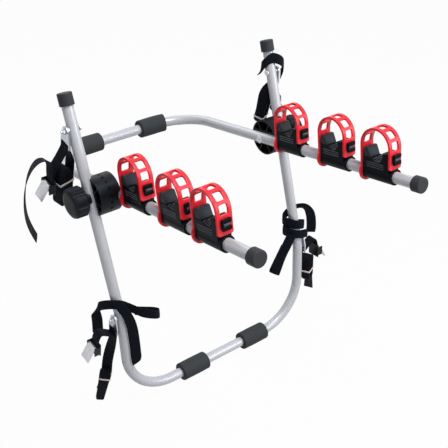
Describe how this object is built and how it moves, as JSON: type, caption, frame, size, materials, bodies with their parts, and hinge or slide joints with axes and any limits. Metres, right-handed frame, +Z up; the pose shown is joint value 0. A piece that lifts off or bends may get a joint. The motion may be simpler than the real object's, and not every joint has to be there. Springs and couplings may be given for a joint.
{
  "type": "trunk mounted bike rack",
  "caption": "Folding strap-on bicycle carrier: two hinged tube frames, arms with saddle cradles and rubber straps, clamp knobs, padded crossbars and webbing tie-downs.",
  "frame": {"origin": "middle of the bottom crossbar, which rests against the vehicle", "axes": "+Z up, +Y toward the vehicle, the arms reach out to -Y, X along the hinge axis"},
  "size_m": [0.7506, 0.8343, 0.7635],
  "materials": {
    "frame_tube": "satin silver paint",
    "pad_rubber": "matte foam rubber",
    "cap_rubber": "matte",
    "hub_plastic": "soft sheen",
    "cradle_plastic": "soft sheen",
    "cradle_rubber": "matte",
    "strap_rubber": "glossy red",
    "zinc": "bright zinc",
    "insert_brass": "turned",
    "webbing": "woven navy webbing",
    "buckle_plastic": "matte",
    "tie_rubber": "matte",
    "hook_rubber": "dipped coat"
  },
  "bodies": {
    "lower_frame": {"lower_tube": "frame_tube", "upright_cap_left": "cap_rubber", "upright_cap_right": "cap_rubber", "lower_pad_left": "pad_rubber", "lower_pad_right": "pad_rubber", "hub_outer_left": "hub_plastic", "hub_outer_right": "hub_plastic", "saddle_washers": "hub_plastic", "anchor_bolts": "zinc", "anchor_nuts": "zinc", "anchor_spacers": "zinc", "webbing_upper_left": "webbing", "webbing_upper_right": "webbing", "webbing_lower_left": "webbing", "webbing_lower_right": "webbing", "buckle_upper_left": "buckle_plastic", "buckle_upper_right": "buckle_plastic", "buckle_lower_left": "buckle_plastic", "buckle_lower_right": "buckle_plastic", "hank_ties": "tie_rubber", "strap_hooks": "hook_rubber", "tail_upper_left": "webbing", "wrap_upper_right": "webbing", "wrap_lower_left": "webbing", "wrap_lower_right": "webbing", "drape_lower_left": "webbing", "drape_lower_right": "webbing"},
    "upper_frame": {"upper_tube": "frame_tube", "arm_cap_left": "cap_rubber", "arm_cap_right": "cap_rubber", "upper_pad_left": "pad_rubber", "upper_pad_right": "pad_rubber", "hub_inner_left": "hub_plastic", "hub_inner_right": "hub_plastic", "hinge_bolts": "zinc", "cradle_left_first": "cradle_plastic", "cradle_left_second": "cradle_plastic", "cradle_left_third": "cradle_plastic", "cradle_right_first": "cradle_plastic", "cradle_right_second": "cradle_plastic", "cradle_right_third": "cradle_plastic", "cradle_pads": "cradle_rubber"},
    "knob_left": {"knob_left": "hub_plastic", "insert_left": "insert_brass"},
    "knob_right": {"knob_right": "hub_plastic", "insert_right": "insert_brass"},
    "strap_left_first": {"strap_left_first": "strap_rubber"},
    "strap_left_second": {"strap_left_second": "strap_rubber"},
    "strap_left_third": {"strap_left_third": "strap_rubber"},
    "strap_right_first": {"strap_right_first": "strap_rubber"},
    "strap_right_second": {"strap_right_second": "strap_rubber"},
    "strap_right_third": {"strap_right_third": "strap_rubber"},
    "shackle_upper_left": {"shackle_upper_left": "zinc"},
    "lever_upper_left": {"lever_upper_left": "zinc"},
    "shackle_upper_right": {"shackle_upper_right": "zinc"},
    "lever_upper_right": {"lever_upper_right": "zinc"},
    "shackle_lower_left": {"shackle_lower_left": "zinc"},
    "lever_lower_left": {"lever_lower_left": "zinc"},
    "shackle_lower_right": {"shackle_lower_right": "zinc"},
    "lever_lower_right": {"lever_lower_right": "zinc"}
  },
  "joints": [
    {"name": "frame_fold", "type": "hinge", "parent": "lower_frame", "child": "upper_frame", "pos_m": [0, 0.09194, 0.50911], "axis": [-1, 0, 0], "range_deg": [-30, 97]},
    {"name": "knob_left_turn", "type": "hinge", "parent": "upper_frame", "child": "knob_left", "pos_m": [-0.27, 0.09194, 0.50911], "axis": [-1, 0, 0], "continuous": true},
    {"name": "knob_right_turn", "type": "hinge", "parent": "upper_frame", "child": "knob_right", "pos_m": [0.27, 0.09194, 0.50911], "axis": [1, 0, 0], "continuous": true},
    {"name": "strap_left_first_open", "type": "hinge", "parent": "upper_frame", "child": "strap_left_first", "pos_m": [-0.214, 0.0236, 0.51859], "axis": [-1, 0, 0], "range_deg": [0, 40], "deforming": ["strap_left_first"]},
    {"name": "strap_left_second_open", "type": "hinge", "parent": "upper_frame", "child": "strap_left_second", "pos_m": [-0.214, -0.11606, 0.53797], "axis": [-1, 0, 0], "range_deg": [0, 40], "deforming": ["strap_left_second"]},
    {"name": "strap_left_third_open", "type": "hinge", "parent": "upper_frame", "child": "strap_left_third", "pos_m": [-0.214, -0.22799, 0.5535], "axis": [-1, 0, 0], "range_deg": [0, 40], "deforming": ["strap_left_third"]},
    {"name": "strap_right_first_open", "type": "hinge", "parent": "upper_frame", "child": "strap_right_first", "pos_m": [0.214, 0.02459, 0.51845], "axis": [-1, 0, 0], "range_deg": [0, 40], "deforming": ["strap_right_first"]},
    {"name": "strap_right_second_open", "type": "hinge", "parent": "upper_frame", "child": "strap_right_second", "pos_m": [0.214, -0.12003, 0.53852], "axis": [-1, 0, 0], "range_deg": [0, 40], "deforming": ["strap_right_second"]},
    {"name": "strap_right_third_open", "type": "hinge", "parent": "upper_frame", "child": "strap_right_third", "pos_m": [0.214, -0.24681, 0.55611], "axis": [-1, 0, 0], "range_deg": [0, 40], "deforming": ["strap_right_third"]},
    {"name": "shackle_upper_left_swing", "type": "hinge", "parent": "lower_frame", "child": "shackle_upper_left", "pos_m": [-0.27, 0.13224, 0.65151], "axis": [1, 0, 0], "range_deg": [-10, 10], "deforming": ["webbing_upper_left"]},
    {"name": "shackle_upper_right_swing", "type": "hinge", "parent": "lower_frame", "child": "shackle_upper_right", "pos_m": [0.27, 0.13224, 0.65151], "axis": [1, 0, 0], "range_deg": [-10, 10], "deforming": ["webbing_upper_right"]},
    {"name": "shackle_lower_left_swing", "type": "hinge", "parent": "lower_frame", "child": "shackle_lower_left", "pos_m": [-0.27, 0.01516, 0.23776], "axis": [1, 0, 0], "range_deg": [-10, 10], "deforming": ["webbing_lower_left"]},
    {"name": "shackle_lower_right_swing", "type": "hinge", "parent": "lower_frame", "child": "shackle_lower_right", "pos_m": [0.27, 0.01516, 0.23776], "axis": [1, 0, 0], "range_deg": [-10, 10], "deforming": ["webbing_lower_right"]},
    {"name": "lever_upper_left_pull", "type": "hinge", "parent": "lower_frame", "child": "lever_upper_left", "pos_m": [-0.3288, 0.16807, 0.52655], "axis": [0, 0.9613, 0.2756], "range_deg": [0, 70]},
    {"name": "lever_upper_right_pull", "type": "hinge", "parent": "lower_frame", "child": "lever_upper_right", "pos_m": [0.3288, 0.16616, 0.54058], "axis": [0, -0.9563, -0.2924], "range_deg": [0, 70]},
    {"name": "lever_lower_left_pull", "type": "hinge", "parent": "lower_frame", "child": "lever_lower_left", "pos_m": [-0.3408, 0.02847, 0.17516], "axis": [0, 0.9781, 0.2079], "range_deg": [0, 70]},
    {"name": "lever_lower_right_pull", "type": "hinge", "parent": "lower_frame", "child": "lever_lower_right", "pos_m": [0.3458, 0.01307, 0.1778], "axis": [0, -0.9994, 0.0349], "range_deg": [0, 70]}
  ]
}
